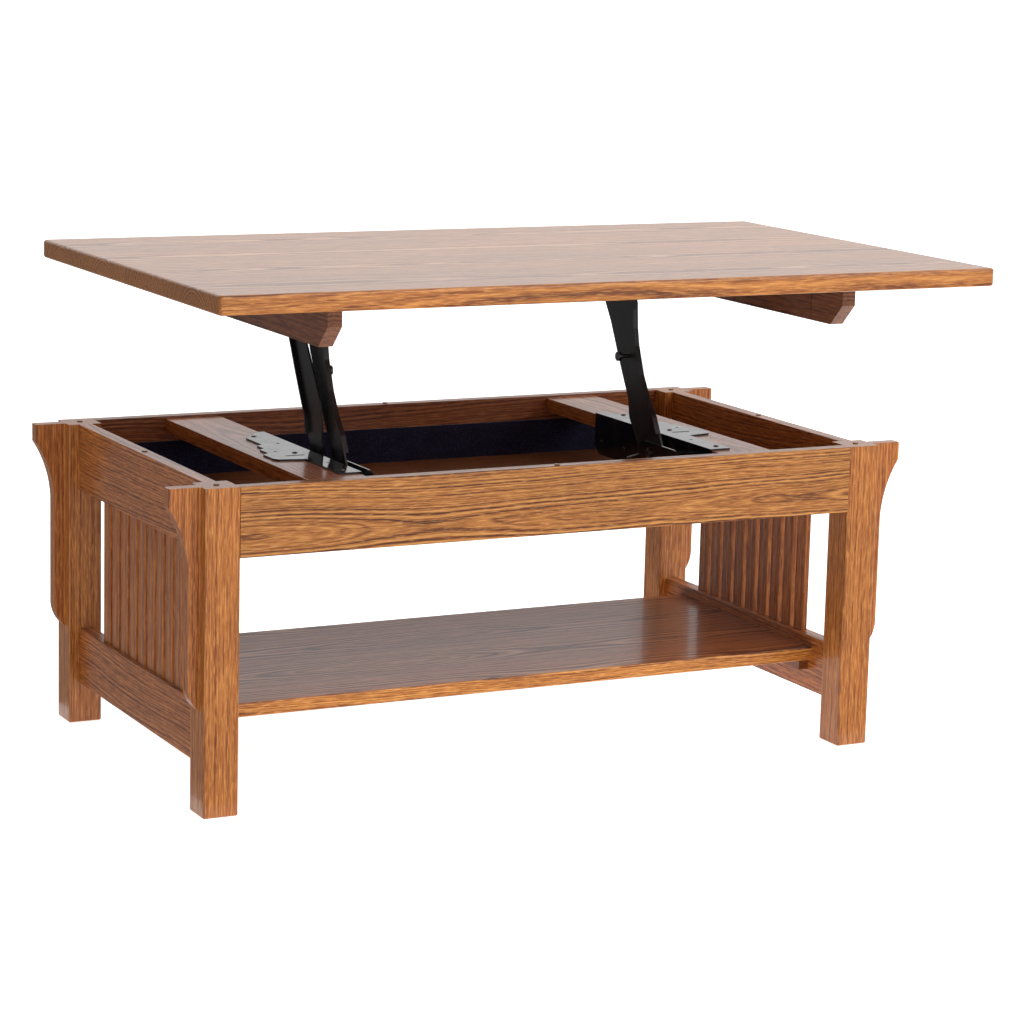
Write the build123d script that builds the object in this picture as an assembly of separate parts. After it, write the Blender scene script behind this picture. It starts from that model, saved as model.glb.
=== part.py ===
"""Lift top coffee table: oak frame with slatted ends, lower shelf and open storage box,
and a slab top carried on two black steel parallel-arm lifts, drawn with the top raised.

Millimetres, +Z up, floor at Z = 0. The front faces -Y and the slatted ends face -X and +X.
The origin is under the middle of the whole object's box, top raised.
"""
import os
from math import atan2, cos, degrees, hypot, radians, sin

from build123d import *

# ---------------------------------------------------------------- driving dimensions
# Frame
FRAME_LENGTH = 1072.0      # outside of the legs, along X
FRAME_DEPTH = 601.0        # outside of the legs, along Y
FRAME_HEIGHT = 457.0       # top of the legs and aprons
LEG = 51.0                 # square leg stock
LEG_EASE = 2.0             # rounding of the leg's long edges
FOOT_EASE = 1.8            # chamfer round the foot
APRON_HEIGHT = 98.0
APRON_THICK = 20.0
END_SETBACK = 16.0         # end rails stand in from the legs' outer faces
END_APRON_HEIGHT = 99.0
LOWER_RAIL_BOTTOM = 61.5
LOWER_RAIL_TOP = 146.0
LOWER_RAIL_THICK = 22.0
EDGE_EASE = 1.0            # light rounding of board edges

# Slatted ends
SLATS = 9
SLAT_WIDTH = 27.0
SLAT_PITCH = 36.2
SLAT_THICK = 8.0
SLAT_SETBACK = 6.0

# Corbels on the end faces of the legs
CORBEL_THICK = 19.0
CORBEL_TOP = 46.0          # projection at the top
CORBEL_STEM = 18.0         # projection along the straight stem
CORBEL_NOSE = 26.0         # height of the square nose
CORBEL_SWEEP = 112.0       # distance down to the end of the concave sweep
CORBEL_STEM_END = 274.0    # distance down to the end of the straight stem
CORBEL_LENGTH = 310.0
SWEEP_OUT = 0.27           # where the sweep's middle lies, as shares of its width and its drop
SWEEP_DOWN = 0.62
FOOT_OUT = 0.76            # how far out the rounded foot's middle lies, as a share of the stem

# Lower shelf
SHELF_DEPTH = 400.0
SHELF_TOP = 129.5
SHELF_THICK = 20.0
SHELF_CLEAT = 16.0
SHELF_CLEAT_LENGTH = 380.0

# Storage box
FLOOR_THICK = 6.0
FELT_HEIGHT = 54.0
FELT_THICK = 3.0
BOARD_INNER = 283.0        # cross board's inner face, from the centre line
BOARD_WIDTH = 88.0
BOARD_THICK = 22.0
BOARD_DROP = 4.0           # cross boards sit below the apron tops
BUMPER_RADIUS = 4.0
BUMPER_HEIGHT = 1.5

# Table top
TOP_LENGTH = 1187.0
TOP_DEPTH = 688.0
TOP_THICK = 26.0
TOP_CORNER = 6.0
TOP_EDGE = 4.0
LIFT_UP = 256.2            # travel from lowered to raised
LIFT_FORWARD = 143.8
CLEAT_INNER = 389.0        # inner face of the cleats under the top, from the centre line
CLEAT_THICK = 21.0
CLEAT_HEIGHT = 61.0
CLEAT_LENGTH = 530.0
CLEAT_CLIP = 30.0
KERF_WIDTH = 2.0           # shallow saw kerfs across the cleats' inner faces
KERF_DEPTH = 1.5
KERF_FROM_FRONT = (82.0, 295.0)

# Lift mechanism, one on the inner face of each cross board; all X values are distances
# from the centre line, for the right-hand mechanism, and the left one is its mirror image
ARM_LEAN = 26.2            # raised arm, degrees back from vertical
PIVOT_HEIGHT = 432.0       # base pivots
FRONT_PIVOT_Y = -120.0
REAR_PIVOT_Y = -72.0
BRACKET_STEEL = 2.5
ARM_STEEL = 3.0
FRONT_ARM_X = 256.0        # inner face of the front arm
REAR_ARM_X = 264.7         # inner face of the rear arm
TOP_WEB_X = 260.6          # inner face of the top bracket's web
CHEEK_X = 246.0            # inner face of the base bracket's cheek
PIN_RADIUS = 4.0
PIN_PLAY = 0.05            # running clearance round a held pin
OPEN_PLAY = 0.6            # clearance at the three top pivots that the tree of joints leaves open
HEAD_RADIUS = 8.0
HEAD_THICK = 2.0
SCREW_RADIUS = 2.0
SCREW_PLAY = 0.1
SCREW_HEAD_RADIUS = 4.2
SCREW_HEAD = 1.6

# ---------------------------------------------------------------- worked-out places
HALF_LENGTH = FRAME_LENGTH / 2
HALF_DEPTH = FRAME_DEPTH / 2
APRON_INNER_Y = HALF_DEPTH - APRON_THICK
END_OUTER_X = HALF_LENGTH - END_SETBACK
END_INNER_X = END_OUTER_X - APRON_THICK
RAIL_INNER_X = END_OUTER_X - LOWER_RAIL_THICK
BETWEEN_LEGS_X = FRAME_LENGTH - 2 * LEG
BETWEEN_LEGS_Y = FRAME_DEPTH - 2 * LEG
FLOOR_BOTTOM = FRAME_HEIGHT - APRON_HEIGHT
FLOOR_TOP = FLOOR_BOTTOM + FLOOR_THICK
BOARD_TOP = FRAME_HEIGHT - BOARD_DROP
BOARD_BOTTOM = BOARD_TOP - BOARD_THICK
TOP_UNDER = FRAME_HEIGHT + BUMPER_HEIGHT + LIFT_UP
TOP_MIDDLE_Y = -LIFT_FORWARD

# The raised and lowered arm directions share the chord that the top travels
CHORD = hypot(LIFT_UP, LIFT_FORWARD)
CHORD_LEAN = degrees(atan2(LIFT_UP, LIFT_FORWARD))
HALF_SWING = CHORD_LEAN - ARM_LEAN
ARM_SWING = 2 * HALF_SWING
ARM_LENGTH = CHORD / (2 * sin(radians(HALF_SWING)))
ARM_REACH = ARM_LENGTH * sin(radians(ARM_LEAN))
ARM_RISE = ARM_LENGTH * cos(radians(ARM_LEAN))
TOP_PIVOT_HEIGHT = PIVOT_HEIGHT + ARM_RISE
FRONT_TOP_Y = FRONT_PIVOT_Y + ARM_REACH
REAR_TOP_Y = REAR_PIVOT_Y + ARM_REACH

# Whole object's box along Y: front edge of the raised top to the back legs
Y_SHIFT = (TOP_DEPTH / 2 + LIFT_FORWARD - HALF_DEPTH) / 2

MIN = Align.MIN
MID = Align.CENTER


def save(name, shape):
    """Write one node, moved into the object's own frame."""
    export_step(Pos(0, Y_SHIFT, 0) * shape, f"parts/{name}.step")


def block(x, y, z):
    """Box between the given (low, high) pairs."""
    size = Box(x[1] - x[0], y[1] - y[0], z[1] - z[0], align=(MIN, MIN, MIN))
    return Pos(x[0], y[0], z[0]) * size


def eased(shape, axis, radius=EDGE_EASE):
    """Round the edges that run along one axis."""
    return fillet(shape.edges().filter_by(axis), radius)


def rod_x(x, y, z, radius):
    """Cylinder along X between a (low, high) pair."""
    bar = Rot(0, 90, 0) * Cylinder(radius, x[1] - x[0], align=(MID, MID, MIN))
    return Pos(x[0], y, z) * bar


def rod_z(x, y, z, radius):
    """Cylinder along Z between a (low, high) pair."""
    return Pos(x, y, z[0]) * Cylinder(radius, z[1] - z[0], align=(MID, MID, MIN))


def on_side(side, shape):
    """The right-hand shape, or its mirror image on the left."""
    return shape if side == "right" else mirror(shape, Plane.YZ)


# ---------------------------------------------------------------- frame
def leg():
    post = eased(Box(LEG, LEG, FRAME_HEIGHT, align=(MID, MID, MIN)), Axis.Z, LEG_EASE)
    return chamfer(post.edges().group_by(Axis.Z)[0], FOOT_EASE)


def corbel():
    """Bracket on the outer face of a right-hand leg, centred on Y = 0."""
    top = FRAME_HEIGHT
    nose = (CORBEL_TOP, top - CORBEL_NOSE)
    stem = (CORBEL_STEM, top - CORBEL_SWEEP)
    sweep_middle = (CORBEL_STEM + SWEEP_OUT * (CORBEL_TOP - CORBEL_STEM), top - SWEEP_DOWN * CORBEL_SWEEP)
    stem_end = (CORBEL_STEM, top - CORBEL_STEM_END)
    foot = (0, top - CORBEL_LENGTH)
    foot_middle = (FOOT_OUT * CORBEL_STEM, top - (CORBEL_STEM_END + CORBEL_LENGTH) / 2)
    outline = Polyline((0, top), (CORBEL_TOP, top), nose)
    outline += ThreePointArc(nose, sweep_middle, stem)
    outline += Line(stem, stem_end)
    outline += ThreePointArc(stem_end, foot_middle, foot)
    outline += Line(foot, (0, top))
    profile = Plane.XZ * make_face(outline)
    return Pos(HALF_LENGTH, 0, 0) * extrude(profile, CORBEL_THICK / 2, both=True)


def slat(middle_y):
    outer = END_OUTER_X - SLAT_SETBACK
    bar = block(
        (outer - SLAT_THICK, outer),
        (middle_y - SLAT_WIDTH / 2, middle_y + SLAT_WIDTH / 2),
        (LOWER_RAIL_TOP, FRAME_HEIGHT - END_APRON_HEIGHT),
    )
    return eased(bar, Axis.Z)


def build_legs():
    centre_x = HALF_LENGTH - LEG / 2
    centre_y = HALF_DEPTH - LEG / 2
    for end, sign_y in (("front", -1), ("back", 1)):
        for side, sign_x in (("left", -1), ("right", 1)):
            save(f"{end}_{side}_leg", Pos(sign_x * centre_x, sign_y * centre_y, 0) * leg())
            save(f"{end}_{side}_corbel", on_side(side, Pos(0, sign_y * centre_y, 0) * corbel()))


def build_rails():
    for end, sign in (("front", -1), ("back", 1)):
        faces = sorted((sign * APRON_INNER_Y, sign * HALF_DEPTH))
        apron = block((-BETWEEN_LEGS_X / 2, BETWEEN_LEGS_X / 2), faces, (FLOOR_BOTTOM, FRAME_HEIGHT))
        save(f"{end}_apron", eased(apron, Axis.X))
    run = (-BETWEEN_LEGS_Y / 2, BETWEEN_LEGS_Y / 2)
    apron = block((END_INNER_X, END_OUTER_X), run, (FRAME_HEIGHT - END_APRON_HEIGHT, FRAME_HEIGHT))
    rail = block((RAIL_INNER_X, END_OUTER_X), run, (LOWER_RAIL_BOTTOM, LOWER_RAIL_TOP))
    for side in ("left", "right"):
        save(f"{side}_end_apron", on_side(side, eased(apron, Axis.Y)))
        save(f"{side}_lower_rail", on_side(side, eased(rail, Axis.Y)))
        for number in range(SLATS):
            middle_y = (number - (SLATS - 1) / 2) * SLAT_PITCH
            save(f"{side}_slat_{number + 1}", on_side(side, slat(middle_y)))


def build_shelf():
    half = SHELF_DEPTH / 2
    shelf_bottom = SHELF_TOP - SHELF_THICK
    shelf = block((-RAIL_INNER_X, RAIL_INNER_X), (-half, half), (shelf_bottom, SHELF_TOP))
    save("shelf", eased(shelf, Axis.X, 2 * EDGE_EASE))
    run = SHELF_CLEAT_LENGTH / 2
    cleat = block((RAIL_INNER_X - SHELF_CLEAT, RAIL_INNER_X), (-run, run),
                  (shelf_bottom - SHELF_CLEAT, shelf_bottom))
    for side in ("left", "right"):
        save(f"{side}_shelf_cleat", on_side(side, cleat))


# ---------------------------------------------------------------- storage box
BASE_SCREWS = ((311.0, 77.0), (309.0, -71.0), (302.0, -220.0))    # X and Y of each screw


def cross_board():
    board = block((BOARD_INNER, BOARD_INNER + BOARD_WIDTH), (-APRON_INNER_Y, APRON_INNER_Y),
                  (BOARD_BOTTOM, BOARD_TOP))
    board = eased(board, Axis.Y)
    for x, y in BASE_SCREWS:
        board -= rod_z(x, y, (BOARD_BOTTOM, BOARD_TOP), SCREW_RADIUS + SCREW_PLAY)
    return board


def build_box():
    floor = block((-END_INNER_X, END_INNER_X), (-APRON_INNER_Y, APRON_INNER_Y), (FLOOR_BOTTOM, FLOOR_TOP))
    notch_x = END_INNER_X - BETWEEN_LEGS_X / 2
    notch_y = APRON_INNER_Y - BETWEEN_LEGS_Y / 2
    notch = Box(2 * notch_x, 2 * notch_y, FRAME_HEIGHT)
    for sign_x in (-1, 1):
        for sign_y in (-1, 1):
            floor -= Pos(sign_x * END_INNER_X, sign_y * APRON_INNER_Y, FLOOR_BOTTOM) * notch
    save("box_floor", floor)
    half = BETWEEN_LEGS_X / 2
    felt_span = (APRON_INNER_Y - FELT_THICK, APRON_INNER_Y)
    felt = block((-half, half), felt_span, (FLOOR_TOP, FLOOR_TOP + FELT_HEIGHT))
    save("felt_liner", felt)
    for side in ("left", "right"):
        save(f"{side}_cross_board", on_side(side, cross_board()))
    leg_x = HALF_LENGTH - LEG / 2
    leg_y = HALF_DEPTH - LEG / 2
    spots = [(sx * leg_x, sy * leg_y) for sx in (-1, 1) for sy in (-1, 1)]
    spots += [(0, sign * (HALF_DEPTH - APRON_THICK / 2)) for sign in (-1, 1)]
    spots += [(sign * (END_OUTER_X - APRON_THICK / 2), 0) for sign in (-1, 1)]
    height = (FRAME_HEIGHT, FRAME_HEIGHT + BUMPER_HEIGHT)
    save("bumpers", Compound([rod_z(x, y, height, BUMPER_RADIUS) for x, y in spots]))


# ---------------------------------------------------------------- lift mechanism
WEB_X = BOARD_INNER - BRACKET_STEEL            # the base bracket's web hangs on the board's inner face
WEB_FRONT = -240.0
WEB_REAR = 112.0
WEB_BOTTOM = 392.0
WEB_CORNER = 14.0
WEB_HOLES = ((90.0, 414.0), (20.0, 414.0))     # Y and Z of two tooling holes
WEB_HOLE_RADIUS = 4.0
FLANGE_TOP = BOARD_TOP + BRACKET_STEEL
FLANGE_OUTLINE = (                             # X and Y of the flange, from its front inner corner
    (WEB_X, WEB_FRONT), (314.0, WEB_FRONT), (314.0, -122.0), (352.0, -114.0), (357.0, -106.0),
    (357.0, -70.0), (346.0, -62.0), (346.0, -30.0), (337.0, -24.0), (337.0, 2.0), (327.0, 8.0),
    (327.0, 68.0), (290.0, WEB_REAR), (WEB_X, WEB_REAR),
)
FLANGE_HOLES = ((332.0, -54.0), (296.0, -157.0), (301.0, 10.0))
FLANGE_HOLE_RADIUS = 2.5
FLANGE_SLOT = (317.0, -91.0)
FLANGE_SLOT_SIZE = (30.0, 5.0)
CHEEK_FRONT = -216.0
CHEEK_REAR = -92.0
CHEEK_TOP = 448.0
CHEEK_FRONT_CORNER = 28.0
CHEEK_REAR_CORNER = 12.0
STOP_FRONT = -182.0                            # plate that the front arm closes against
STOP_REAR = -148.0
STOP_HEIGHT = 437.0

# Outlines of the raised arms as (Y, Z): up the front edge and down the rear edge
FRONT_ARM = (
    (-122.0, 409.0), (-140.0, 419.0), (-142.0, 440.0), (-117.0, 486.0), (-96.0, 510.0), (-75.0, 543.0),
    (-58.0, 585.0), (-52.0, 612.0), (-49.0, 650.0), (-26.0, 684.0), (-2.0, 688.0), (16.0, 676.0),
    (15.0, 645.0), (3.0, 612.0), (-7.0, 590.0), (-23.0, 563.0), (-44.0, 525.0), (-60.0, 497.0),
    (-80.0, 470.0), (-97.0, 440.0), (-98.0, 420.0),
)
REAR_ARM = (
    (-74.0, 412.0), (-92.0, 420.0), (-94.0, 438.0), (-71.0, 464.0), (-71.0, 490.0), (-61.0, 529.0),
    (-38.0, 564.0), (-13.0, 600.0), (12.0, 640.0), (22.0, 676.0), (42.0, 688.0), (62.0, 680.0),
    (67.0, 655.0), (63.0, 637.0), (44.0, 610.0), (19.0, 563.0), (-4.0, 522.0), (-18.0, 499.0),
    (-23.0, 470.0), (-50.0, 436.0), (-54.0, 418.0),
)
ARM_LOW_END = 20.0                             # end zones, measured up and down from the pivots
ARM_HIGH_END = 24.0
ARM_END_CORNER = 8.0
ARM_RUN_CORNER = 20.0
ARM_LIP = 5.0                                  # depth of the folded lips
FRONT_LIP = (
    (-150.0, 462.0), (-107.0, 462.0), (-80.0, 500.0), (-62.0, 530.0), (-36.0, 575.0), (-25.0, 640.0),
    (-150.0, 640.0),
)
REAR_LIP = (
    (-46.0, 475.0), (-38.0, 505.0), (-33.0, 524.0), (3.0, 580.0), (40.0, 628.0), (120.0, 628.0),
    (120.0, 475.0),
)
REAR_ARM_HOLE = (5.0, 562.0)
REAR_ARM_HOLE_RADIUS = 3.5
KNOB_PLACE = (-31.0, 566.0)                    # Y and Z on the raised front arm
KNOB_STEM = 3.0
KNOB_REACH = 20.0
KNOB_HEAD = 7.0
KNOB_HEAD_THICK = 5.0
HEAD_GAP = 0.5                                 # between a pin's head and the arm
THROUGH = 1.0                                  # how far a cutter runs past the steel
FLANGE_HOLE_PLAY = 0.4

SPRING_RADIUS = 16.0
SPRING_WALL = 4.0
SPRING_GAP = 1.0
SPRING_LEG_RADIUS = 1.5
SPRING_LEG = 72.0
SPRING_LEG_TILT = -102.0


def outline(points, low_end, high_end):
    """Face of an arm, its ends rounded tighter than its long edges."""
    face = make_face(Polyline(*points, close=True))
    ends = [v for v in face.vertices() if v.Y < low_end or v.Y > high_end]
    face = fillet(ends, ARM_END_CORNER)
    corners = [(y, z) for y, z in points if low_end < z < high_end]
    run = [v for v in face.vertices() if any(hypot(v.X - y, v.Y - z) < THROUGH for y, z in corners)]
    return fillet(run, ARM_RUN_CORNER)


def arm(points, lip_window, inner_x, lip_x, top_pivot_y, base_pivot_y, open_top):
    """Stamped steel arm with one long edge folded over into a lip."""
    face = outline(points, PIVOT_HEIGHT + ARM_LOW_END, TOP_PIVOT_HEIGHT - ARM_HIGH_END)
    steel = Pos(inner_x, 0, 0) * extrude(Plane.YZ * face, ARM_STEEL)
    window = make_face(Polyline(*lip_window, close=True))
    strip = (face - offset(face, -ARM_STEEL)) & window
    steel += Pos(lip_x, 0, 0) * extrude(Plane.YZ * strip, ARM_LIP + THROUGH)
    spans = (inner_x - THROUGH, inner_x + ARM_STEEL + THROUGH)
    steel -= rod_x(spans, base_pivot_y, PIVOT_HEIGHT, PIN_RADIUS + PIN_PLAY)
    top_play = OPEN_PLAY if open_top else PIN_PLAY
    steel -= rod_x(spans, top_pivot_y, TOP_PIVOT_HEIGHT, PIN_RADIUS + top_play)
    return steel


def front_arm(open_top):
    """Inner arm, lipped towards the table's middle along its front edge."""
    lip_x = FRONT_ARM_X - ARM_LIP
    steel = arm(FRONT_ARM, FRONT_LIP, FRONT_ARM_X, lip_x, FRONT_TOP_Y, FRONT_PIVOT_Y, open_top)
    return steel - rod_x((FRONT_ARM_X - THROUGH, FRONT_ARM_X + ARM_STEEL + THROUGH), *KNOB_PLACE, KNOB_STEM)


def rear_arm():
    """Outer arm, lipped away from the table's middle along its rear edge."""
    lip_x = REAR_ARM_X + ARM_STEEL - THROUGH
    steel = arm(REAR_ARM, REAR_LIP, REAR_ARM_X, lip_x, REAR_TOP_Y, REAR_PIVOT_Y, True)
    spans = (REAR_ARM_X - THROUGH, REAR_ARM_X + ARM_STEEL + THROUGH)
    return steel - rod_x(spans, *REAR_ARM_HOLE, REAR_ARM_HOLE_RADIUS)


def knob_pin():
    head_x = FRONT_ARM_X - KNOB_REACH
    stem = rod_x((head_x, FRONT_ARM_X + ARM_STEEL), *KNOB_PLACE, KNOB_STEM)
    return stem + rod_x((head_x, head_x + KNOB_HEAD_THICK), *KNOB_PLACE, KNOB_HEAD)


def base_bracket():
    """Folded steel bracket: flange on the board, web, floor, stop plate and a front cheek."""
    sheet = make_face(Polyline(*FLANGE_OUTLINE, close=True))
    flange = extrude(Plane.XY.offset(BOARD_TOP) * sheet, BRACKET_STEEL)
    through_flange = (BOARD_TOP - THROUGH, FLANGE_TOP + THROUGH)
    for x, y in BASE_SCREWS:
        flange -= rod_z(x, y, through_flange, SCREW_RADIUS + FLANGE_HOLE_PLAY)
    for x, y in FLANGE_HOLES:
        flange -= rod_z(x, y, through_flange, FLANGE_HOLE_RADIUS)
    slot = extrude(Plane.XY * SlotOverall(*FLANGE_SLOT_SIZE), through_flange[1] - through_flange[0])
    flange -= Pos(*FLANGE_SLOT, through_flange[0]) * slot
    web = block((WEB_X, BOARD_INNER), (WEB_FRONT, WEB_REAR), (WEB_BOTTOM, FLANGE_TOP))
    web = chamfer(web.edges().filter_by(Axis.X).group_by(Axis.Z)[0], WEB_CORNER)
    for place in WEB_HOLES:
        web -= rod_x((WEB_X - THROUGH, BOARD_INNER + THROUGH), *place, WEB_HOLE_RADIUS)
    floor = block((CHEEK_X, BOARD_INNER), (CHEEK_FRONT + CHEEK_FRONT_CORNER, CHEEK_REAR),
                  (WEB_BOTTOM, WEB_BOTTOM + BRACKET_STEEL))
    cheek = block((CHEEK_X, CHEEK_X + BRACKET_STEEL), (CHEEK_FRONT, CHEEK_REAR), (WEB_BOTTOM, CHEEK_TOP))
    cheek = fillet(cheek.edges().filter_by(Axis.X).group_by(Axis.Y)[0], CHEEK_FRONT_CORNER - THROUGH)
    rear_edges = cheek.edges().filter_by(Axis.X).group_by(Axis.Y)[-1]
    cheek = fillet(rear_edges.group_by(Axis.Z)[-1], CHEEK_REAR_CORNER)
    stop = block((CHEEK_X, BOARD_INNER), (STOP_FRONT, STOP_REAR), (STOP_HEIGHT, STOP_HEIGHT + BRACKET_STEEL))
    bracket = flange + web + floor + cheek + stop
    drilled = (CHEEK_X - THROUGH, BOARD_INNER + THROUGH)
    for y in (FRONT_PIVOT_Y, REAR_PIVOT_Y):
        bracket -= rod_x(drilled, y, PIVOT_HEIGHT, PIN_RADIUS + SCREW_PLAY)
    return bracket


def headed_pin(span, head, y, z):
    """Pin along X with a wider head at one end."""
    return rod_x(span, y, z, PIN_RADIUS) + rod_x(head, y, z, HEAD_RADIUS)


def base_pins():
    """Front pin from cheek to web, and a shorter rear pin held in the web."""
    front = (CHEEK_X - HEAD_THICK, CHEEK_X)
    rear = (REAR_ARM_X - HEAD_GAP - HEAD_THICK, REAR_ARM_X - HEAD_GAP)
    return [
        headed_pin((front[0], BOARD_INNER), front, FRONT_PIVOT_Y, PIVOT_HEIGHT),
        headed_pin((rear[0], BOARD_INNER), rear, REAR_PIVOT_Y, PIVOT_HEIGHT),
    ]


def top_pins():
    """Pins held in the top bracket's web, with heads beyond the two arms."""
    front = (FRONT_ARM_X - HEAD_GAP - HEAD_THICK, FRONT_ARM_X - HEAD_GAP)
    outer = REAR_ARM_X + ARM_STEEL + HEAD_GAP
    rear = (outer, outer + HEAD_THICK)
    return [
        headed_pin((front[0], TOP_WEB_X + BRACKET_STEEL), front, FRONT_TOP_Y, TOP_PIVOT_HEIGHT),
        headed_pin((TOP_WEB_X, rear[1]), rear, REAR_TOP_Y, TOP_PIVOT_HEIGHT),
    ]


TOP_FLANGE_INNER = 224.0
TOP_BRACKET_OVERHANG = 42.0
TOP_BRACKET_FRONT = FRONT_TOP_Y - TOP_BRACKET_OVERHANG
TOP_BRACKET_REAR = REAR_TOP_Y + TOP_BRACKET_OVERHANG
TOP_WEB_DROP = 16.0                            # web below the top pivots
TOP_WEB_CORNER = 13.0
TOP_SCREW_INSET = 14.0
TOP_SCREWS_Y = (TOP_BRACKET_FRONT + TOP_SCREW_INSET, TOP_BRACKET_REAR - TOP_SCREW_INSET)
TOP_SCREW_X = 240.0
SCREW_BITE = 14.0
BASE_SCREW_SKIN = 4.0                          # oak left under a base screw's tip


def top_bracket():
    """Angle under the top: a flange screwed to it and a web that takes both top pivots."""
    web_span = (TOP_WEB_X, TOP_WEB_X + BRACKET_STEEL)
    run = (TOP_BRACKET_FRONT, TOP_BRACKET_REAR)
    flange = block((TOP_FLANGE_INNER, web_span[1]), run, (TOP_UNDER - BRACKET_STEEL, TOP_UNDER))
    web = block(web_span, run, (TOP_PIVOT_HEIGHT - TOP_WEB_DROP, TOP_UNDER))
    web = chamfer(web.edges().filter_by(Axis.X).group_by(Axis.Z)[0], TOP_WEB_CORNER)
    bracket = flange + web
    through_flange = (TOP_UNDER - BRACKET_STEEL - THROUGH, TOP_UNDER + THROUGH)
    for y in TOP_SCREWS_Y:
        bracket -= rod_z(TOP_SCREW_X, y, through_flange, SCREW_RADIUS + FLANGE_HOLE_PLAY)
    drilled = (web_span[0] - THROUGH, web_span[1] + THROUGH)
    for y in (FRONT_TOP_Y, REAR_TOP_Y):
        bracket -= rod_x(drilled, y, TOP_PIVOT_HEIGHT, PIN_RADIUS + SCREW_PLAY)
    return bracket


def spring():
    """Torsion spring round the rear base pin, as the tube its coils fill, with its fixed leg."""
    coil = (REAR_ARM_X + ARM_STEEL + SPRING_GAP, WEB_X - SPRING_GAP)
    bore = (coil[0] - THROUGH, coil[1] + THROUGH)
    body = rod_x(coil, REAR_PIVOT_Y, PIVOT_HEIGHT, SPRING_RADIUS)
    body -= rod_x(bore, REAR_PIVOT_Y, PIVOT_HEIGHT, SPRING_RADIUS - SPRING_WALL)
    rod = Cylinder(SPRING_LEG_RADIUS, SPRING_LEG, align=(MID, MID, MIN))
    low = PIVOT_HEIGHT - SPRING_RADIUS + SPRING_LEG_RADIUS
    start = Pos(coil[1] - SPRING_LEG_RADIUS, REAR_PIVOT_Y + SPRING_WALL, low)
    return body + start * Rot(SPRING_LEG_TILT, 0, 0) * rod


def base_screw(x, y):
    shank = rod_z(x, y, (BOARD_BOTTOM + BASE_SCREW_SKIN, FLANGE_TOP), SCREW_RADIUS)
    return shank + rod_z(x, y, (FLANGE_TOP, FLANGE_TOP + SCREW_HEAD), SCREW_HEAD_RADIUS)


def build_lifts():
    screws = []
    lower_pins = []
    upper_pins = []
    for side in ("left", "right"):
        save(f"{side}_base_bracket", on_side(side, base_bracket()))
        save(f"{side}_front_arm", on_side(side, front_arm(side == "right")))
        save(f"{side}_rear_arm", on_side(side, rear_arm()))
        save(f"{side}_knob_pin", on_side(side, knob_pin()))
        save(f"{side}_spring", on_side(side, spring()))
        save(f"{side}_top_bracket", on_side(side, top_bracket()))
        screws += [on_side(side, base_screw(x, y)) for x, y in BASE_SCREWS]
        lower_pins += [on_side(side, pin) for pin in base_pins()]
        upper_pins += [on_side(side, pin) for pin in top_pins()]
    save("base_screws", Compound(screws))
    save("base_pins", Compound(lower_pins))
    save("top_pins", Compound(upper_pins))


# ---------------------------------------------------------------- table top
def top_screw_holes():
    """Places of the screws under the top as (X, Y, lowest Z of the head)."""
    flange_under = TOP_UNDER - BRACKET_STEEL
    return [(TOP_SCREW_X, y, flange_under) for y in TOP_SCREWS_Y]


def tabletop():
    slab = block((-TOP_LENGTH / 2, TOP_LENGTH / 2),
                 (TOP_MIDDLE_Y - TOP_DEPTH / 2, TOP_MIDDLE_Y + TOP_DEPTH / 2),
                 (TOP_UNDER, TOP_UNDER + TOP_THICK))
    slab = eased(slab, Axis.Z, TOP_CORNER)
    rims = slab.edges().group_by(Axis.Z)[-1] + slab.edges().group_by(Axis.Z)[0]
    slab = fillet(rims, TOP_EDGE)
    for sign in (-1, 1):
        for x, y, _ in top_screw_holes():
            slab -= rod_z(sign * x, y, (TOP_UNDER - 1, TOP_UNDER + SCREW_BITE), SCREW_RADIUS + SCREW_PLAY)
    return slab


def cleat():
    """Oak cleat under the right end of the top, its lower corners clipped."""
    front = TOP_MIDDLE_Y - CLEAT_LENGTH / 2
    rear = TOP_MIDDLE_Y + CLEAT_LENGTH / 2
    across = (CLEAT_INNER, CLEAT_INNER + CLEAT_THICK)
    bar = block(across, (front, rear), (TOP_UNDER - CLEAT_HEIGHT, TOP_UNDER))
    bar = chamfer(bar.edges().filter_by(Axis.X).group_by(Axis.Z)[0], CLEAT_CLIP)
    kerf = Box(2 * KERF_DEPTH, KERF_WIDTH, 2 * CLEAT_HEIGHT)
    for distance in KERF_FROM_FRONT:
        bar -= Pos(CLEAT_INNER, front + distance, TOP_UNDER) * kerf
    return bar


def build_top():
    save("tabletop", tabletop())
    for side in ("left", "right"):
        save(f"{side}_top_cleat", on_side(side, cleat()))
    screws = []
    for sign in (-1, 1):
        for x, y, under in top_screw_holes():
            screw = rod_z(sign * x, y, (under, TOP_UNDER + SCREW_BITE - 1), SCREW_RADIUS)
            screw += rod_z(sign * x, y, (under - SCREW_HEAD, under), SCREW_HEAD_RADIUS)
            screws.append(screw)
    save("top_screws", Compound(screws))


os.makedirs("parts", exist_ok=True)
build_legs()
build_rails()
build_shelf()
build_box()
build_lifts()
build_top()
print(f"lift swing {ARM_SWING:.3f} deg, arm {ARM_LENGTH:.2f} mm, shift {Y_SHIFT:.2f} mm")
print(f"front base pivot Y {FRONT_PIVOT_Y + Y_SHIFT:.2f} Z {PIVOT_HEIGHT:.2f}")
print(f"rear base pivot Y {REAR_PIVOT_Y + Y_SHIFT:.2f}")
print(f"front top pivot Y {FRONT_TOP_Y + Y_SHIFT:.3f} Z {TOP_PIVOT_HEIGHT:.3f}")
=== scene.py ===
"""Looks of the lift top coffee table: lacquered oak, black steel lifts and a navy felt liner.

Metres, +Z up, floor at Z = 0, the front faces -Y.
"""
from math import cos, pi, radians, sin, tau

import bmesh
import bpy
from mathutils import Matrix, Vector


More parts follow.
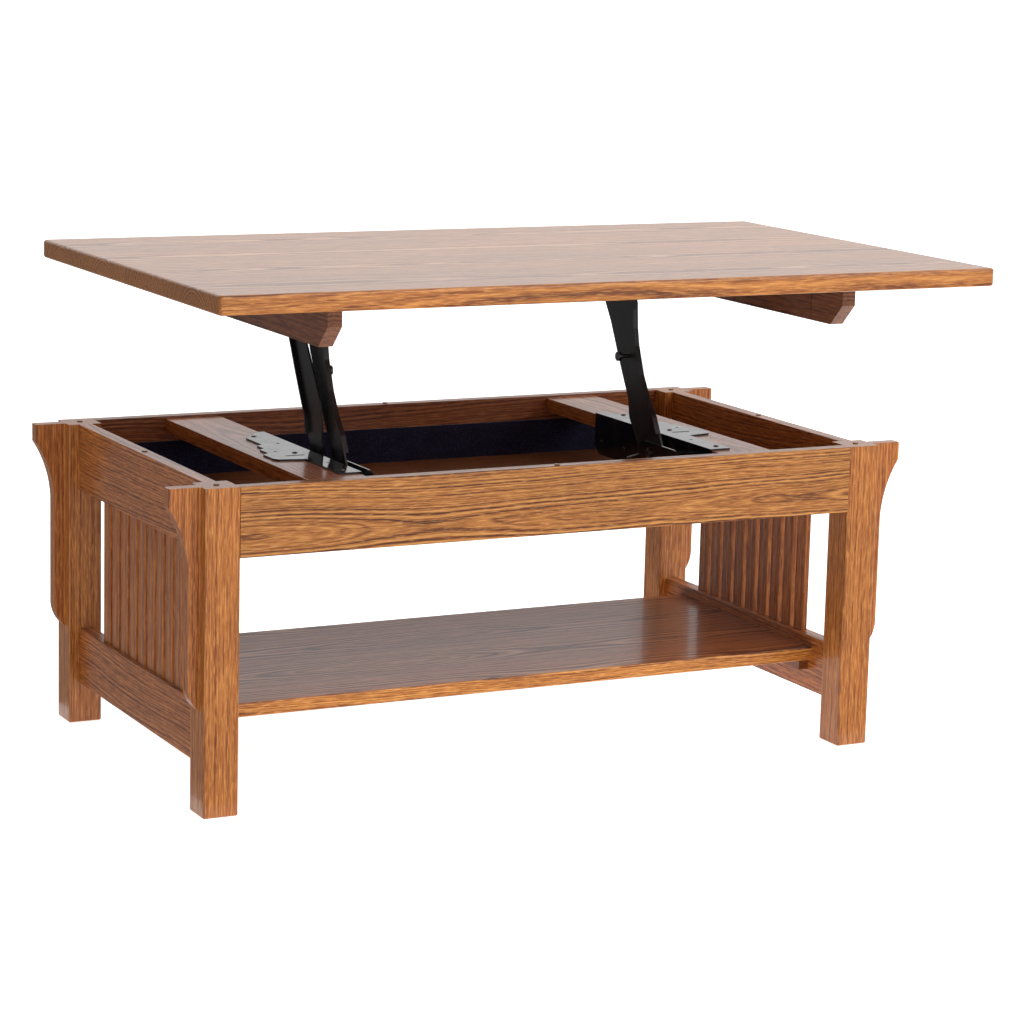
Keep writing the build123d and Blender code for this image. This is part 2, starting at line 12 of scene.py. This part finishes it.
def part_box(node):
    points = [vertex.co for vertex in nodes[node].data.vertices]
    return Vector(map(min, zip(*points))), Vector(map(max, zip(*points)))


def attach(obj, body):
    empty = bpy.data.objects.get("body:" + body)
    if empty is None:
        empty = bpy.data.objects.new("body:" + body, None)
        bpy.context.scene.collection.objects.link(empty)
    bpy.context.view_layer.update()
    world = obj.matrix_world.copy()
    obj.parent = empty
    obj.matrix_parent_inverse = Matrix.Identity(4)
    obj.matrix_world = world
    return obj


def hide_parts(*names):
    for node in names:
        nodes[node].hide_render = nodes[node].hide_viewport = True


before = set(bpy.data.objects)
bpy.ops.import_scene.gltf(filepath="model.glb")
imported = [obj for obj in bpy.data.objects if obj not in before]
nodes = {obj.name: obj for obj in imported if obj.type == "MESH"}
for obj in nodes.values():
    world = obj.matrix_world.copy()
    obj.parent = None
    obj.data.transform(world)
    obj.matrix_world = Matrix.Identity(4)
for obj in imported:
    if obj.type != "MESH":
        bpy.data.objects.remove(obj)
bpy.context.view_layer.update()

# ---------------------------------------------------------------- node building


class Graph:
    """Small helper that adds shader nodes to a material and links them."""

    def __init__(self, name):
        self.material = bpy.data.materials.new(name)
        self.material.use_nodes = True
        self.tree = self.material.node_tree
        self.shader = self.tree.nodes["Principled BSDF"]

    def add(self, kind, inputs=None, **settings):
        node = self.tree.nodes.new(kind)
        for key, value in settings.items():
            setattr(node, key, value)
        for key, value in (inputs or {}).items():
            self.feed(node.inputs[key], value)
        return node

    def feed(self, socket, value):
        if isinstance(value, bpy.types.NodeSocket):
            self.tree.links.new(value, socket)
        else:
            socket.default_value = value

    def math(self, operation, first, second=0.0):
        return self.add("ShaderNodeMath", {0: first, 1: second}, operation=operation).outputs[0]

    def noise(self, vector, detail, roughness=0.5):
        values = {"Vector": vector, "Scale": 1.0, "Detail": detail, "Roughness": roughness}
        return self.add("ShaderNodeTexNoise", values).outputs["Fac"]

    def ramp(self, value, stops):
        node = self.add("ShaderNodeValToRGB", {"Fac": value})
        elements = node.color_ramp.elements
        while len(elements) < len(stops):
            elements.new(0.5)
        for element, (place, colour) in zip(elements, stops):
            element.position = place
            element.color = (*colour, 1.0)
        return node.outputs["Color"]

    def mix(self, share, first, second, blend="MIX"):
        node = self.add("ShaderNodeMix", data_type="RGBA", blend_type=blend)
        self.feed(node.inputs[0], share)
        self.feed(node.inputs[6], first)
        self.feed(node.inputs[7], second)
        return node.outputs[2]

    def spread(self, value, low, high, new_low, new_high):
        values = {"Value": value, "From Min": low, "From Max": high, "To Min": new_low, "To Max": new_high}
        return self.add("ShaderNodeMapRange", values).outputs["Result"]

    def bump(self, height, strength, distance):
        values = {"Height": height, "Strength": strength, "Distance": distance}
        return self.add("ShaderNodeBump", values).outputs["Normal"]

    def place(self):
        """Object coordinates as three sockets."""
        coordinates = self.add("ShaderNodeTexCoord").outputs["Object"]
        parts = self.add("ShaderNodeSeparateXYZ", {0: coordinates})
        return parts.outputs

    def vector(self, x, y, z):
        return self.add("ShaderNodeCombineXYZ", {0: x, 1: y, 2: z}).outputs[0]

    def speckle(self, scales, detail, roughness=0.5, shift=0.0):
        """Noise with so many features a metre along each axis, moved on by shift along Z."""
        x, y, z = (self.math("MULTIPLY", part, scale) for part, scale in zip(self.place(), scales))
        return self.noise(self.vector(x, y, self.math("ADD", z, shift)), detail, roughness)

    def finish(self, **values):
        for key, value in values.items():
            self.feed(self.shader.inputs[key.replace("_", " ")], value)
        return self.material


# ---------------------------------------------------------------- oak
# The part of a noise's 0 to 1 that it mostly stays in
NOISE_LOW, NOISE_HIGH = 0.3, 0.7

GRAIN_DARK = (0.080, 0.020, 0.004)
GRAIN_BROWN = (0.205, 0.060, 0.010)
GRAIN_MID = (0.375, 0.132, 0.024)
GRAIN_LIGHT = (0.540, 0.235, 0.056)
GRAIN_PALE = (0.760, 0.400, 0.125)
RIPPLE = 0.0009
STAVE_SHIFT = 9.0
# Painted highlight on a piece's long edges: how far it takes to come in, and how much it lightens
HIGHLIGHT_FADE = 0.002
HIGHLIGHT_TINT = 1.25
STRAIGHT = {
    "pith": 0.25, "aside": 0.30, "rings": 360.0, "arch": 0.0010, "contrast": 0.32, "open_grain": 0.45,
}


def oak(name, seed, centre, grain="X", board=0.0, pith=0.03, aside=0.0, rings=330.0, arch=0.012,
        contrast=0.66, open_grain=0.62, tint=(1.0, 1.0, 1.0), highlight_edge=None):
    """Lacquered oak, its growth rings cut through at each face, with open pores along the grain.

    grain is the axis the board runs along, centre the middle of the piece, board the width of the glued
    staves, if any, pith and aside how far the heart of the tree lies behind and beside it, rings the
    growth rate, arch how far the heart wanders, contrast how much the rings show, open_grain how much the
    pores do, and highlight_edge how far from the middle a painted highlight lightens the long edges."""
    graph = Graph(name)
    axes = {"X": (0, 1, 2), "Y": (1, 0, 2), "Z": (2, 0, 1)}[grain]
    place = graph.place()
    along = place[axes[0]]
    across = graph.math("SUBTRACT", place[axes[1]], centre[axes[1]])
    depth = graph.math("SUBTRACT", place[axes[2]], centre[axes[2]])
    if grain == "X" and not board:
        across, depth = depth, across
    if highlight_edge:
        from_middle = graph.math("ABSOLUTE", across)
    shade = 0.5
    shift = seed * 3.7
    if board:
        stave = graph.math("FLOOR", graph.math("DIVIDE", across, board))
        across = graph.math("SUBTRACT", across, graph.math("MULTIPLY", stave, board))
        across = graph.math("SUBTRACT", across, board / 2)
        number = graph.math("ADD", stave, seed)
        own = graph.add("ShaderNodeTexWhiteNoise", {"W": number}, noise_dimensions="1D")
        shade = own.outputs["Value"]
        shift = graph.math("ADD", graph.math("MULTIPLY", shade, STAVE_SHIFT), shift)
    run = graph.math("ADD", along, shift)

    def grainy(lengthwise, crosswise, detail, roughness=0.5):
        """Noise drawn out along the board, with so many features a metre each way."""
        scaled = ((run, lengthwise), (across, crosswise), (depth, crosswise))
        stretched = graph.vector(*(graph.math("MULTIPLY", part, scale) for part, scale in scaled))
        return graph.noise(stretched, detail, roughness)

    # The heart of the tree wanders along the board, which draws the arches
    wander = graph.spread(grainy(1.6, 2.0, 1.0), NOISE_LOW, NOISE_HIGH, -arch, arch)
    ripple = graph.spread(grainy(9.0, 30.0, 2.0), NOISE_LOW, NOISE_HIGH, -RIPPLE, RIPPLE)
    heart = graph.math("ADD", graph.math("ADD", depth, wander), pith)
    side = graph.math("ADD", graph.math("ADD", across, aside), graph.math("MULTIPLY", wander, 0.4))
    radius = graph.math("SQRT", graph.math("ADD", graph.math("MULTIPLY", side, side),
                                           graph.math("MULTIPLY", heart, heart)))
    radius = graph.math("ADD", radius, ripple)
    years = {"W": graph.math("MULTIPLY", radius, rings), "Scale": 1.0, "Detail": 2.0}
    growth = graph.add("ShaderNodeTexNoise", years, noise_dimensions="1D").outputs["Fac"]

    fibre = grainy(16.0, 330.0, 3.0, 0.65)
    dashes = grainy(48.0, 620.0, 2.0, 0.6)
    early = graph.spread(growth, 0.54, 0.38, 0.0, 1.0)
    pores = graph.spread(dashes, 0.50, 0.60, 0.0, 1.0)
    pores = graph.math("MULTIPLY", pores, graph.spread(early, 0.0, 1.0, 0.36, 0.85))
    glints = graph.spread(dashes, 0.46, 0.36, 0.0, 0.30)
    ringed = graph.spread(growth, 0.25, 0.75, 0.5 - 0.25 * contrast, 0.5 + 0.25 * contrast)
    fibred = graph.spread(fibre, 0.25, 0.75, -0.13, 0.13)
    figure = graph.math("ADD", ringed, fibred)
    colour = graph.ramp(figure, [
        (0.26, GRAIN_DARK), (0.38, GRAIN_BROWN), (0.51, GRAIN_MID), (0.70, GRAIN_LIGHT),
    ])
    colour = graph.mix(glints, colour, (*GRAIN_PALE, 1.0))
    colour = graph.mix(graph.math("MULTIPLY", pores, open_grain), colour, (*GRAIN_DARK, 1.0))
    level = graph.spread(grainy(3.0, 9.0, 2.0), NOISE_LOW, NOISE_HIGH, 0.90, 1.10)
    if board:
        level = graph.math("MULTIPLY", level, graph.spread(shade, 0.0, 1.0, 0.88, 1.10))
    # Painted highlight: the colour lightens towards the long edges, beyond highlight_edge from the middle
    if highlight_edge:
        fade = graph.spread(from_middle, highlight_edge, highlight_edge + HIGHLIGHT_FADE, 0.0, 1.0)
        tint = [graph.spread(fade, 0.0, 1.0, part, HIGHLIGHT_TINT) for part in tint]
    # The tint multiplies the colour: each part's own tone, and painted shade on the parts inside the box
    # and under the top
    tinted = graph.vector(*(graph.math("MULTIPLY", level, part) for part in tint))
    colour = graph.mix(1.0, colour, tinted, "MULTIPLY")
    height = graph.math("SUBTRACT", figure, graph.math("MULTIPLY", pores, 0.6))
    return graph.finish(
        Base_Color=colour, Roughness=graph.spread(figure, 0.3, 0.7, 0.42, 0.30), Coat_Weight=0.4,
        Coat_Roughness=0.14, Specular_IOR_Level=0.35, Normal=graph.bump(height, 0.20, 0.0005),
    )


# ---------------------------------------------------------------- other finishes
def black_steel(name, seed, low_rough, high_rough):
    """Black paint over sheet steel, with fine orange peel and rubbed patches."""
    graph = Graph(name)
    peel = graph.speckle((500.0, 500.0, 500.0), 2.0)
    rub = graph.speckle((40.0, 40.0, 22.0), 4.0, 0.6, seed)
    colour = graph.ramp(rub, [
        (0.35, (0.006, 0.006, 0.0080)), (0.62, (0.012, 0.012, 0.015)), (0.80, (0.035, 0.035, 0.041)),
    ])
    return graph.finish(
        Base_Color=colour, Roughness=graph.spread(rub, 0.3, 0.75, low_rough, high_rough),
        Specular_IOR_Level=0.5, Normal=graph.bump(peel, 0.04, 0.0002),
    )


def bare_steel(name, dark, light, low_rough, high_rough):
    """Bright or plated steel with drawn scratches and a little staining."""
    graph = Graph(name)
    scratch = graph.speckle((1800.0, 260.0, 260.0), 3.0, 0.6)
    stain = graph.speckle((150.0, 150.0, 150.0), 3.0)
    colour = graph.ramp(stain, [(0.3, dark), (0.7, light)])
    return graph.finish(
        Base_Color=colour, Metallic=1.0,
        Roughness=graph.spread(scratch, NOISE_LOW, NOISE_HIGH, low_rough, high_rough),
        Normal=graph.bump(scratch, 0.10, 0.0002),
    )


def felt(name):
    """Pressed wool felt: matted fibres, a soft nap and pale flecks."""
    graph = Graph(name)
    nap = graph.speckle((420.0, 420.0, 420.0), 4.0, 0.7)
    cloud = graph.speckle((30.0, 30.0, 45.0), 3.0)
    colour = graph.ramp(nap, [
        (0.34, (0.002, 0.002, 0.008)), (0.55, (0.009, 0.008, 0.032)), (0.72, (0.055, 0.050, 0.120)),
    ])
    level = graph.spread(cloud, NOISE_LOW, NOISE_HIGH, 0.75, 1.25)
    colour = graph.mix(1.0, colour, graph.vector(level, level, level), "MULTIPLY")
    return graph.finish(
        Base_Color=colour, Roughness=0.95, Sheen_Weight=0.25, Sheen_Roughness=0.5, Specular_IOR_Level=0.15,
        Normal=graph.bump(nap, 0.6, 0.0012),
    )


def amber(name):
    """Translucent amber dome, a little cloudy."""
    graph = Graph(name)
    cloud = graph.speckle((500.0, 500.0, 500.0), 2.0)
    colour = graph.ramp(cloud, [(0.3, (0.10, 0.045, 0.012)), (0.7, (0.30, 0.17, 0.06))])
    return graph.finish(
        Base_Color=colour, Roughness=graph.spread(cloud, NOISE_LOW, NOISE_HIGH, 0.18, 0.34),
        Subsurface_Weight=0.15,
        Normal=graph.bump(cloud, 0.15, 0.0003),
    )


# ---------------------------------------------------------------- finishes on the CAD nodes
def paint(node, material):
    for held in nodes[node].material_slots:
        held.material = material


# Painted shade: a darker, bluer tint stands for the shade on the back apron's inside face
INSIDE_SHADE = (0.70, 0.56, 0.78)
LOOKS = {
    "leg": {"grain": "Z", **STRAIGHT, "tint": (1.08, 0.98, 0.90)},
    "corbel": {"grain": "Z", **STRAIGHT, "contrast": 0.7, "tint": (1.02, 0.86, 0.78)},
    "slat": {"grain": "Z", **STRAIGHT, "contrast": 0.5, "tint": (1.00, 0.82, 0.72)},
    "front_apron": {"grain": "X", "rings": 430.0, "aside": 0.022, "arch": 0.014, "contrast": 1.0},
    "back_apron": {"grain": "X", "tint": INSIDE_SHADE},
    "end_apron": {"grain": "Y", "pith": 0.10, "aside": 0.06, "tint": (1.08, 0.86, 0.76)},
    "lower_rail": {"grain": "Y", "pith": 0.10, "aside": 0.06, "tint": (1.00, 0.80, 0.70)},
    "cross_board": {"grain": "Y", "contrast": 0.42, "tint": (0.92, 0.71, 0.62)},
    # Painted shade: the cleats under the top are darkened for the shade they sit in
    "cleat": {"grain": "Y", "contrast": 0.5, "tint": (0.48, 0.38, 0.40)},
    "shelf": {
        "grain": "X", "board": 0.13, "arch": 0.018, "contrast": 0.8, "tint": (0.84, 0.62, 0.52),
        # The shelf's long edges get a painted highlight
        "highlight_edge": 0.197,
    },
    # Painted shade: the floor of the box is darkened for the shade inside it
    "box_floor": {"grain": "X", "board": 0.19, "tint": (0.60, 0.50, 0.50)},
    "tabletop": {"grain": "X", "board": 0.17, "arch": 0.016, "contrast": 0.55, "tint": (1.04, 0.98, 0.92)},
}


def look(node):
    """The finish of a wooden node, found by what its name holds."""
    return next((values for key, values in LOOKS.items() if key in node), None)


wood = [name for name in sorted(nodes) if look(name)]
for index, name in enumerate(wood):
    low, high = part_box(name)
    middle = (Vector(low) + Vector(high)) / 2
    paint(name, oak(f"oak_{name}", 1.0 + 2.3 * index, middle, **look(name)))

steel_dark = bare_steel("dark_zinc", (0.05, 0.05, 0.054), (0.24, 0.24, 0.25), 0.25, 0.45)
steel_spring = bare_steel("spring_steel", (0.10, 0.10, 0.105), (0.34, 0.33, 0.32), 0.22, 0.42)
for index, name in enumerate(sorted(nodes)):
    if name.endswith("_arm"):
        paint(name, black_steel(f"black_{name}", index * 1.9, 0.26, 0.44))
    elif "bracket" in name:
        paint(name, black_steel(f"black_{name}", index * 1.9, 0.07, 0.15))
    elif "pin" in name:
        paint(name, steel_dark)
paint("felt_liner", felt("navy_felt"))
paint("bumpers", amber("amber_bumper"))


# ---------------------------------------------------------------- springs
COILS = 3.0
COIL_STEPS = 16
COIL_RADIUS = 0.014
WIRE = 0.0015
WIRE_ROUNDNESS = 3
# From the node's box to the middle of the coils, and to the middle of the wire
COIL_INSET = 0.016
WIRE_INSET = 0.002
# From the middle of the coils: up to the wire's start and up or down to its two bends
START_RISE = 0.018
BEND = 0.012


def tube(name, points, radius):
    """Round wire along a run of points, as one closed mesh."""
    curve = bpy.data.curves.new(name, "CURVE")
    curve.dimensions = "3D"
    curve.bevel_depth = radius
    curve.bevel_resolution = WIRE_ROUNDNESS
    curve.use_fill_caps = True
    spline = curve.splines.new("NURBS")
    spline.points.add(len(points) - 1)
    for point, spot in zip(spline.points, points):
        point.co = (*spot, 1.0)
    spline.order_u = 4
    spline.use_endpoint_u = True
    spline.resolution_u = 6
    source = bpy.data.objects.new(f"{name}_path", curve)
    bpy.context.collection.objects.link(source)
    graph = bpy.context.evaluated_depsgraph_get()
    mesh = bpy.data.meshes.new_from_object(source.evaluated_get(graph))
    bpy.data.objects.remove(source)
    mesh.name = name
    for face in mesh.polygons:
        face.use_smooth = True
    made = bpy.data.objects.new(name, mesh)
    bpy.context.collection.objects.link(made)
    return made


for side, sign in (("left", -1), ("right", 1)):
    low, high = (Vector(corner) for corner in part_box(f"{side}_spring"))
    inner, outer = sorted((abs(low.x), abs(high.x)))
    inner += WIRE_INSET
    outer -= WIRE_INSET
    centre_y = low.y + COIL_INSET
    centre_z = high.z - COIL_INSET
    steps = int(COILS * COIL_STEPS)
    path = [(sign * inner, centre_y - WIRE_INSET, centre_z + START_RISE),
            (sign * inner, centre_y + 0.95 * COIL_RADIUS, centre_z + BEND)]
    for step in range(steps + 1):
        turn = step / steps
        angle = tau * COILS * turn
        x = inner + (outer - inner) * turn
        path.append((sign * x, centre_y + COIL_RADIUS * cos(angle), centre_z - COIL_RADIUS * sin(angle)))
    path += [(sign * outer, centre_y + COIL_RADIUS, centre_z - BEND),
             (sign * outer, high.y - WIRE_INSET, low.z + WIRE_INSET)]
    spring = tube(f"{side}_torsion_spring", path, WIRE)
    spring.data.materials.append(steel_spring)
    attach(spring, "frame")
    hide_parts(f"{side}_spring")


# ---------------------------------------------------------------- screws with driven heads
HEAD_HEIGHT = 0.0016
HEAD_RINGS = 5
HEAD_SIDES = 24
# Share of a quarter turn that the dome covers
DOME = 0.86
# The recess, as shares of the head: where it begins, how deep it is, and the height of its bottom
RECESS_FROM = 0.35
RECESS_DEPTH = 0.55
RECESS_BOTTOM = 0.3


def screw_head(mesh, spot, radius, height, up):
    """Domed head with a cross recess, added to a mesh being built."""
    loops = []
    for ring in range(HEAD_RINGS + 1):
        lift = ring / HEAD_RINGS
        wide = radius * cos(lift * pi / 2 * DOME)
        rise = height * sin(lift * pi / 2 * DOME) / sin(pi / 2 * DOME)
        loop = []
        for side in range(HEAD_SIDES):
            angle = tau * side / HEAD_SIDES
            sink = 0.0
            if lift > RECESS_FROM and side % (HEAD_SIDES // 4) == 0:
                sink = RECESS_DEPTH * height
            out = (spot[0] + wide * cos(angle), spot[1] + wide * sin(angle))
            loop.append(mesh.verts.new((*out, spot[2] + up * (rise - sink))))
        loops.append(loop)
    for inner_loop, outer_loop in zip(loops, loops[1:]):
        for side in range(HEAD_SIDES):
            after = (side + 1) % HEAD_SIDES
            mesh.faces.new((inner_loop[side], inner_loop[after], outer_loop[after], outer_loop[side]))
    pit = mesh.verts.new((spot[0], spot[1], spot[2] + up * RECESS_BOTTOM * height))
    for side in range(HEAD_SIDES):
        mesh.faces.new((loops[-1][side], loops[-1][(side + 1) % HEAD_SIDES], pit))
    mesh.faces.new(loops[0])


def islands(node):
    """Box of each loose part of a CAD node."""
    mesh = bmesh.new()
    mesh.from_mesh(nodes[node].data)
    bmesh.ops.remove_doubles(mesh, verts=mesh.verts, dist=1e-6)
    left = set(mesh.verts)
    found = []
    while left:
        queue = [left.pop()]
        group = []
        while queue:
            vert = queue.pop()
            group.append(vert.co.copy())
            for edge in vert.link_edges:
                other = edge.other_vert(vert)
                if other in left:
                    left.remove(other)
                    queue.append(other)
        found.append((Vector(min(spot[axis] for spot in group) for axis in range(3)),
                      Vector(max(spot[axis] for spot in group) for axis in range(3))))
    mesh.free()
    return found


for node, body, up in (("base_screws", "frame", 1), ("top_screws", "top", -1)):
    mesh = bmesh.new()
    for low, high in islands(node):
        middle = (low + high) / 2
        seat = high.z - HEAD_HEIGHT if up > 0 else low.z + HEAD_HEIGHT
        screw_head(mesh, (middle.x, middle.y, seat), (high.x - low.x) / 2, HEAD_HEIGHT, up)
    bmesh.ops.recalc_face_normals(mesh, faces=mesh.faces)
    data = bpy.data.meshes.new(f"{node}_heads")
    mesh.to_mesh(data)
    mesh.free()
    heads = bpy.data.objects.new(f"{node}_heads", data)
    bpy.context.collection.objects.link(heads)
    data.materials.append(steel_dark)
    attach(heads, body)
    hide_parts(node)


# ---------------------------------------------------------------- stage
FLOOR_SIDE = 60.0
FLOOR_GLOW = 0.70
# The floor and the surroundings look brighter to the camera than the light that they give
FLOOR_GLOW_SEEN = 0.88
SKY_SEEN = 1.05
SKY_DIM, SKY_BRIGHT = 0.28, 1.30
SKY_BRIGHT_SIDE = (0.50, -0.78, 0.37)
LAMP_WATTS = 45
LAMP_SIZE = 2.2


def card(name, corners, strength, seen=False, mirrored=False):
    """Flat panel that only lights, or shades, the table; a mirrored one is met by reflections alone."""
    mesh = bpy.data.meshes.new(name)
    mesh.from_pydata(corners, [], [(0, 1, 2, 3)])
    panel = bpy.data.objects.new(name, mesh)
    bpy.context.collection.objects.link(panel)
    graph = Graph(name)
    graph.finish(
        Base_Color=(0.05, 0.05, 0.05, 1.0), Roughness=1.0, Emission_Color=(1.0, 1.0, 1.0, 1.0),
        Emission_Strength=strength,
    )
    mesh.materials.append(graph.material)
    panel.visible_camera = seen
    panel.visible_diffuse = not mirrored
    panel.visible_shadow = not mirrored
    return panel


def level_card(name, x, y, z, strength, **settings):
    """Card lying flat over the given (low, high) spans, at height z."""
    corners = [(x[0], y[0], z), (x[1], y[0], z), (x[1], y[1], z), (x[0], y[1], z)]
    return card(name, corners, strength, **settings)


span = (-FLOOR_SIDE / 2, FLOOR_SIDE / 2)
floor = level_card("floor", span, span, 0.0, FLOOR_GLOW, seen=True)
floor_tree = floor.data.materials[0].node_tree
floor_shader = floor_tree.nodes["Principled BSDF"]
floor_shader.inputs["Base Color"].default_value = (0.80, 0.80, 0.80, 1.0)
floor_shader.inputs["Specular IOR Level"].default_value = 0.0
floor_ray = floor_tree.nodes.new("ShaderNodeLightPath")
floor_glow = floor_tree.nodes.new("ShaderNodeMapRange")
floor_glow.inputs["To Min"].default_value = FLOOR_GLOW
floor_glow.inputs["To Max"].default_value = FLOOR_GLOW_SEEN
floor_tree.links.new(floor_ray.outputs["Is Camera Ray"], floor_glow.inputs["Value"])
floor_tree.links.new(floor_glow.outputs["Result"], floor_shader.inputs["Emission Strength"])

world = bpy.data.worlds.new("studio")
bpy.context.scene.world = world
world.use_nodes = True
tree = world.node_tree
background = tree.nodes["Background"]
background.inputs["Color"].default_value = (1.0, 1.0, 1.0, 1.0)
ray = tree.nodes.new("ShaderNodeLightPath")
direction = tree.nodes.new("ShaderNodeTexCoord")
tilt = tree.nodes.new("ShaderNodeVectorMath")
tilt.operation = "DOT_PRODUCT"
tilt.inputs[1].default_value = SKY_BRIGHT_SIDE
level = tree.nodes.new("ShaderNodeMapRange")
level.inputs["From Min"].default_value = -1.0
level.inputs["From Max"].default_value = 1.0
level.inputs["To Min"].default_value = SKY_DIM
level.inputs["To Max"].default_value = SKY_BRIGHT
choose = tree.nodes.new("ShaderNodeMix")
choose.inputs[3].default_value = SKY_SEEN
tree.links.new(direction.outputs["Generated"], tilt.inputs[0])
tree.links.new(tilt.outputs["Value"], level.inputs["Value"])
tree.links.new(ray.outputs["Is Camera Ray"], choose.inputs[0])
tree.links.new(level.outputs["Result"], choose.inputs[2])
tree.links.new(choose.outputs[0], background.inputs["Strength"])

BACK = 3.2
card("back_panel", [(-4, BACK, 0.95), (7, BACK, 0.95), (7, BACK, 5), (-4, BACK, 5)], 1.0)
card("back_flag", [(-4, BACK, 0.02), (7, BACK, 0.02), (7, BACK, 0.93), (-4, BACK, 0.93)], 0.12)
SIDE = -1.6
card("left_flag", [(SIDE, -1.4, 0.02), (SIDE, 4.5, 0.02), (SIDE, 4.5, 3.0), (SIDE, -1.4, 3.0)], 0.12)
CLOTH = 0.004
level_card("left_cloth", (-5, -0.56), (-0.25, 6), CLOTH, 0.18, mirrored=True)
level_card("back_cloth", (-0.56, 0.45), (0.45, 6), CLOTH, 0.12, mirrored=True)
level_card("front_cloth", (-1, 6), (-6, -0.25), CLOTH, 0.26, mirrored=True)

key = bpy.data.lights.new("key", "AREA")
key.energy = LAMP_WATTS
key.size = LAMP_SIZE
lamp = bpy.data.objects.new("key", key)
lamp.location = (2.6, -4.2, 2.9)
lamp.rotation_euler = (Vector((0, 0, 0.4)) - lamp.location).to_track_quat("-Z", "Y").to_euler()
bpy.context.collection.objects.link(lamp)

# ---------------------------------------------------------------- camera
YAW, PITCH, ROLL = radians(-27.013), radians(10.124), radians(1.403)
forward = Vector((-sin(YAW) * cos(PITCH), cos(YAW) * cos(PITCH), -sin(PITCH)))
right = Vector((cos(YAW), sin(YAW), 0))
upward = right.cross(forward)
right, upward = cos(ROLL) * right + sin(ROLL) * upward, cos(ROLL) * upward - sin(ROLL) * right
lens = bpy.data.cameras.new("camera")
lens.lens = 109.82
lens.shift_x = 0.0159
lens.shift_y = -0.0435
camera = bpy.data.objects.new("camera", lens)
turn = Matrix((right, upward, -forward)).transposed()
camera.matrix_world = Matrix.Translation((-2.0509, -4.0278, 1.2269)) @ turn.to_4x4()
bpy.context.collection.objects.link(camera)
bpy.context.scene.camera = camera
bpy.context.scene.view_settings.view_transform = "Standard"
